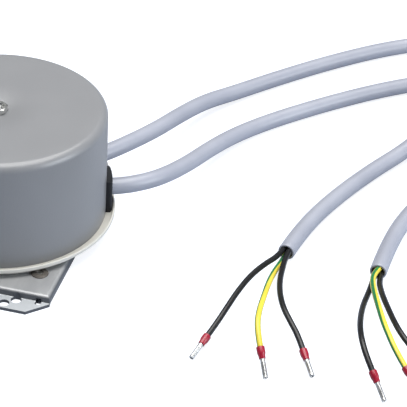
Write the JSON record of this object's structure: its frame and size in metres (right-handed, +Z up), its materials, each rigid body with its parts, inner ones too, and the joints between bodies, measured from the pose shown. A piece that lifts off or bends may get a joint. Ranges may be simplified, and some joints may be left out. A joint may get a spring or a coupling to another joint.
{
  "type": "roller shutter motor",
  "caption": "Geared motor for a roller shutter: round grey can on an ivory rim and a zinc bracket, keyed output bore underneath, cables with ferruled cores.",
  "frame": {"origin": "on the motor and output axis, in the plane of the undersides of the bracket's two tabs", "axes": "+Z up along the motor axis out of the can's top, X and Y along the bracket's edges, tabs at -Y and +Y"},
  "size_m": [0.2605, 0.2926, 0.059],
  "materials": {
    "zinc_sheet": "zinc-plated sheet steel, satin",
    "steel": "machined steel",
    "rivet_steel": "dull plated steel",
    "ivory_plastic": "ivory moulded plastic, satin",
    "can_paint": "mid grey lacquer, satin",
    "black_rubber": "black rubber, matt",
    "bronze": "sintered bronze",
    "gear_plastic": "natural acetal",
    "magnet": "ferrite, dark grey",
    "rotor_plastic": "black moulded plastic",
    "bobbin_plastic": "white moulded plastic",
    "copper": "enamelled copper wire",
    "terminal_plastic": "natural polyamide",
    "brass": "plain brass",
    "cable_jacket": "grey PVC, satin",
    "core_black": "black PVC",
    "core_earth": "yellow PVC with a green stripe",
    "ferrule": "red collar on a tinned sleeve"
  },
  "bodies": {
    "housing": {"mounting_bracket": "zinc_sheet", "bearing_plate": "zinc_sheet", "gear_plate": "zinc_sheet", "end_shield": "zinc_sheet", "can_nut": "zinc_sheet", "can_stud": "zinc_sheet", "tie_screws": "zinc_sheet", "base_screws": "zinc_sheet", "bracket_rivets": "rivet_steel", "gear_base": "ivory_plastic", "can": "can_paint", "grommets": "black_rubber", "output_bush": "bronze", "lower_bearing": "bronze", "upper_bearing": "bronze", "idler_pin_a": "steel", "idler_pin_b": "steel", "lower_pole_cup": "steel", "lower_pole_plate": "steel", "upper_pole_cup": "steel", "upper_pole_plate": "steel", "lower_bobbin": "bobbin_plastic", "upper_bobbin": "bobbin_plastic", "lower_winding": "copper", "upper_winding": "copper", "terminal_block": "terminal_plastic", "terminal_screws": "brass", "cable_a": "cable_jacket", "cable_b": "cable_jacket", "inner_cores": "core_black", "core_a1": "core_black", "core_a3": "core_black", "core_b1": "core_black", "core_b3": "core_black", "core_a2": "core_earth", "core_b2": "core_earth", "ferrule_a1": "ferrule", "ferrule_a2": "ferrule", "ferrule_a3": "ferrule", "ferrule_b1": "ferrule", "ferrule_b2": "ferrule", "ferrule_b3": "ferrule"},
    "rotor": {"rotor_magnet": "magnet", "rotor_hub": "rotor_plastic", "rotor_shaft": "steel", "motor_pinion": "steel"},
    "first_idler": {"first_wheel": "gear_plastic", "first_pinion": "steel"},
    "second_idler": {"second_wheel": "gear_plastic", "second_pinion": "steel"},
    "output": {"output_gear": "steel", "output_hub": "steel", "output_circlip": "steel"}
  },
  "joints": [
    {"name": "rotor_spin", "type": "hinge", "parent": "housing", "child": "rotor", "pos_m": [0, 0, 0.035], "axis": [0, 0, 1], "continuous": true},
    {"name": "first_idler_spin", "type": "hinge", "parent": "housing", "child": "first_idler", "pos_m": [-0.018, -0.00031, 0.018], "axis": [0, 0, 1], "continuous": true},
    {"name": "second_idler_spin", "type": "hinge", "parent": "housing", "child": "second_idler", "pos_m": [-0.00864, -0.02078, 0.012], "axis": [0, 0, 1], "continuous": true},
    {"name": "output_spin", "type": "hinge", "parent": "housing", "child": "output", "pos_m": [0, 0, 0.006], "axis": [0, 0, 1], "continuous": true}
  ],
  "couplings": [
    {"joint": "first_idler_spin", "follows": "rotor_spin", "ratio": -0.25},
    {"joint": "second_idler_spin", "follows": "rotor_spin", "ratio": 0.0625},
    {"joint": "output_spin", "follows": "rotor_spin", "ratio": -0.015625}
  ]
}
